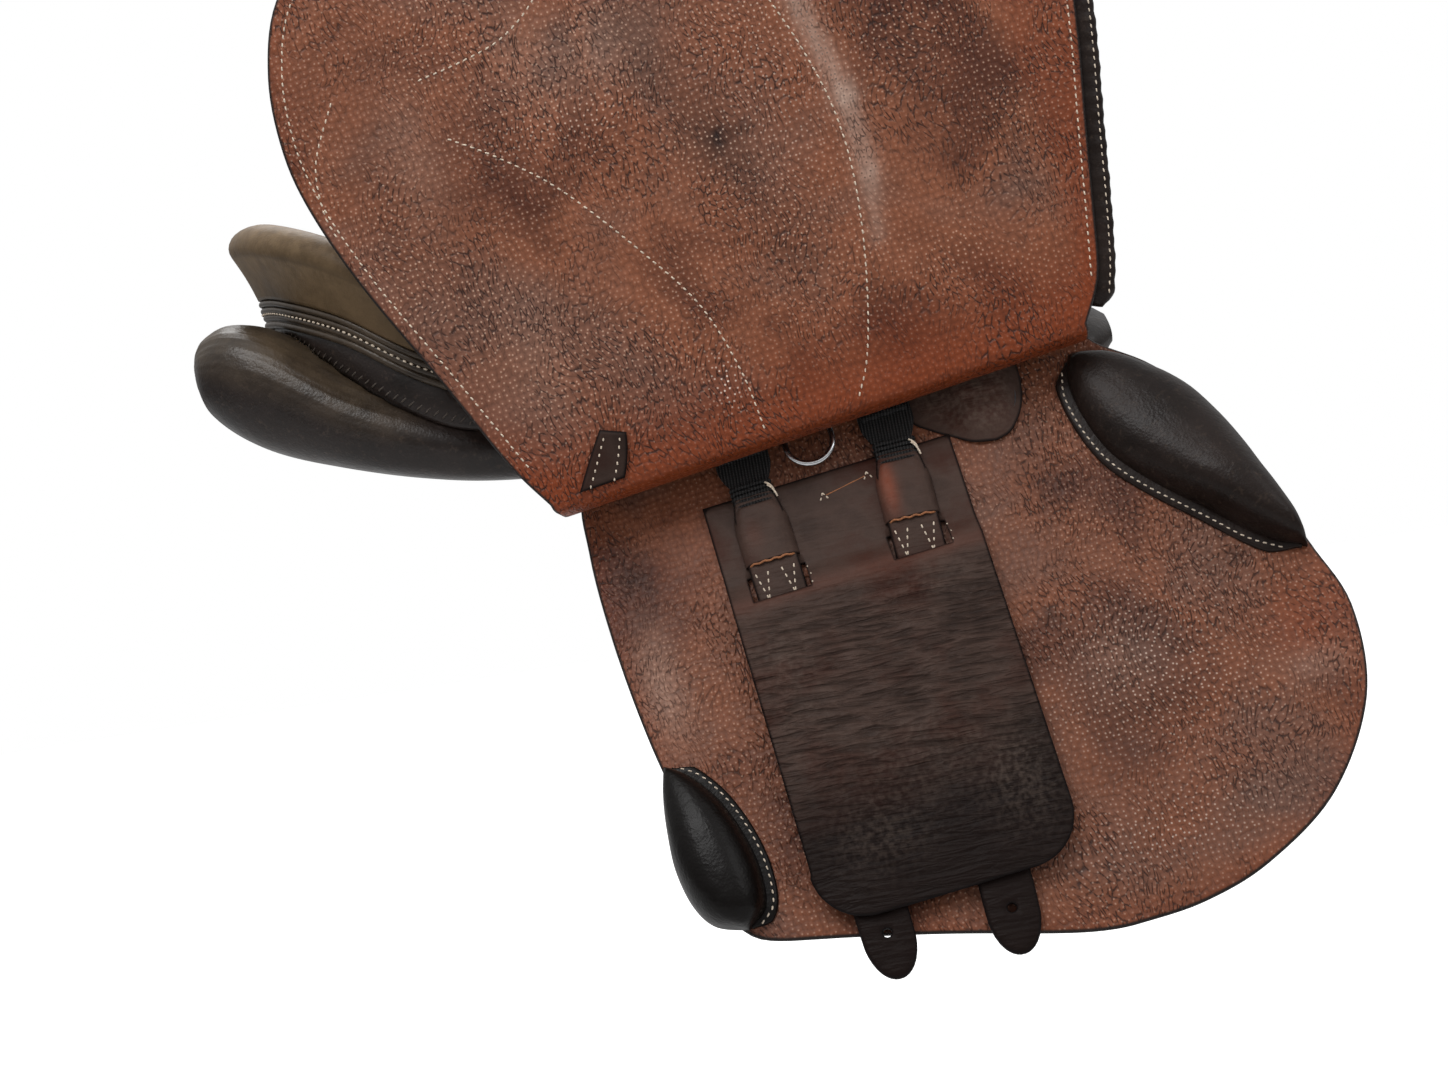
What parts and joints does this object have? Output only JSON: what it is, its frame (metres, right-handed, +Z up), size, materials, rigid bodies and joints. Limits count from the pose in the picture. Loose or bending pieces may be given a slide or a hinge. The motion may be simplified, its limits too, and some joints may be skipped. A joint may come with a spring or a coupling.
{
  "type": "jumping saddle",
  "caption": "English jumping saddle with a deep seat, forward flaps that lift over their folds, knee and thigh blocks, billets through a sliding guard, and stirrup bars under skirts.",
  "frame": {"origin": "on the centre plane, at the level where the panels bear, 40 mm behind the middle of the stirrup bars", "axes": "+X to the pommel, +Y to the near (left) side, +Z up"},
  "size_m": [0.6304, 0.5418, 0.6739],
  "materials": {
    "tree_wood": "satin lacquer",
    "forged_steel": "polished, lightly worn",
    "seat_leather": "waxed, grained",
    "welt_leather": "waxed",
    "panel_leather": "smooth calf, semi-gloss",
    "flap_leather": "waxed pigskin grain",
    "strap_leather": "waxed bridle leather",
    "nylon_web": "ribbed weave",
    "latex_foam": "soft, matt"
  },
  "bodies": {
    "saddle": {"tree_plate": "tree_wood", "head_arch": "forged_steel", "pommel_facing": "seat_leather", "channel_lining": "welt_leather", "tree_rail_left": "tree_wood", "tree_rail_right": "tree_wood", "tree_point_left": "forged_steel", "tree_point_right": "forged_steel", "seat_webbing": "nylon_web", "seat_foam": "latex_foam", "seat_cover": "seat_leather", "seat_welt": "welt_leather", "panel_welt": "welt_leather", "panel_left": "panel_leather", "panel_right": "panel_leather", "sweat_flap_left": "flap_leather", "sweat_flap_right": "flap_leather", "knee_block_left": "panel_leather", "knee_block_right": "panel_leather", "thigh_block_left": "panel_leather", "thigh_block_right": "panel_leather", "point_pocket_left": "strap_leather", "point_pocket_right": "strap_leather", "rear_web_left": "nylon_web", "rear_web_right": "nylon_web", "front_web_left": "nylon_web", "front_web_right": "nylon_web", "web_nails": "forged_steel", "girth_dee_tab_left": "nylon_web", "girth_dee_tab_right": "nylon_web", "front_dee_tab_left": "nylon_web", "front_dee_tab_right": "nylon_web", "stirrup_bar_left": "forged_steel", "stirrup_bar_right": "forged_steel", "bar_rivets": "forged_steel", "flap_head_left": "flap_leather", "flap_head_right": "flap_leather"},
    "flap_right": {"flap_right": "flap_leather", "edge_roll_right": "panel_leather", "keeper_right": "strap_leather"},
    "skirt_right": {"skirt_right": "seat_leather"},
    "guard_right": {"billet_guard_right": "strap_leather"},
    "girth_dee_right": {"girth_dee_right": "forged_steel"},
    "front_dee_right": {"front_dee_right": "forged_steel"},
    "bar_catch_right": {"bar_catch_right": "forged_steel"},
    "flap_left": {"flap_left": "flap_leather", "edge_roll_left": "panel_leather", "keeper_left": "strap_leather"},
    "skirt_left": {"skirt_left": "seat_leather"},
    "guard_left": {"billet_guard_left": "strap_leather"},
    "girth_dee_left": {"girth_dee_left": "forged_steel"},
    "front_dee_left": {"front_dee_left": "forged_steel"},
    "bar_catch_left": {"bar_catch_left": "forged_steel"},
    "billets_right": {"rear_billet_right": "strap_leather", "front_billet_right": "strap_leather"},
    "billets_left": {"rear_billet_left": "strap_leather", "front_billet_left": "strap_leather"}
  },
  "joints": [
    {"name": "flap_right_fold", "type": "hinge", "parent": "saddle", "child": "flap_right", "pos_m": [0.03953, -0.1416, 0.04131], "axis": [-0.9853, -0.0158, -0.1699], "range_deg": [-147, 0]},
    {"name": "flap_left_fold", "type": "hinge", "parent": "saddle", "child": "flap_left", "pos_m": [0.03953, 0.1416, 0.04131], "axis": [0.9853, -0.0158, 0.1699], "range_deg": [-147, 0]},
    {"name": "skirt_right_seam", "type": "hinge", "parent": "saddle", "child": "skirt_right", "pos_m": [0.03378, -0.08268, 0.10312], "axis": [0.9744, 0.179, 0.1357], "range_deg": [-12, 0]},
    {"name": "skirt_left_seam", "type": "hinge", "parent": "saddle", "child": "skirt_left", "pos_m": [0.03378, 0.08268, 0.10312], "axis": [-0.9744, 0.179, -0.1357], "range_deg": [-12, 0]},
    {"name": "billets_right_swing", "type": "hinge", "parent": "saddle", "child": "billets_right", "pos_m": [0.04347, -0.13233, 0.0133], "axis": [-0.9903, 0, -0.1392], "range_deg": [0, 60]},
    {"name": "guard_right_slide", "type": "slide", "parent": "billets_right", "child": "guard_right", "axis": [0.124, -0.454, -0.8823], "range_m": [-0.02, 0]},
    {"name": "billets_left_swing", "type": "hinge", "parent": "saddle", "child": "billets_left", "pos_m": [0.04347, 0.13233, 0.0133], "axis": [0.9903, 0, 0.1392], "range_deg": [0, 60]},
    {"name": "guard_left_slide", "type": "slide", "parent": "billets_left", "child": "guard_left", "axis": [0.124, 0.454, -0.8823], "range_m": [-0.02, 0]},
    {"name": "girth_dee_right_swing", "type": "hinge", "parent": "saddle", "child": "girth_dee_right", "pos_m": [0.02035, -0.11963, 0.03411], "axis": [-0.9903, 0, -0.1392], "range_deg": [0, 20]},
    {"name": "girth_dee_left_swing", "type": "hinge", "parent": "saddle", "child": "girth_dee_left", "pos_m": [0.02035, 0.11963, 0.03411], "axis": [0.9903, 0, 0.1392], "range_deg": [0, 20]},
    {"name": "front_dee_right_swing", "type": "hinge", "parent": "saddle", "child": "front_dee_right", "pos_m": [0.16758, -0.11907, 0.09305], "axis": [-0.9903, 0, -0.1392], "range_deg": [0, 45]},
    {"name": "front_dee_left_swing", "type": "hinge", "parent": "saddle", "child": "front_dee_left", "pos_m": [0.16758, 0.11907, 0.09305], "axis": [0.9903, 0, 0.1392], "range_deg": [0, 45]},
    {"name": "bar_catch_right_turn", "type": "hinge", "parent": "saddle", "child": "bar_catch_right", "pos_m": [0.07054, -0.12401, 0.06496], "axis": [0.0632, 0.891, -0.4496], "range_deg": [0, 50]},
    {"name": "bar_catch_left_turn", "type": "hinge", "parent": "saddle", "child": "bar_catch_left", "pos_m": [0.07054, 0.12401, 0.06496], "axis": [-0.0632, 0.891, 0.4496], "range_deg": [0, 50]}
  ]
}
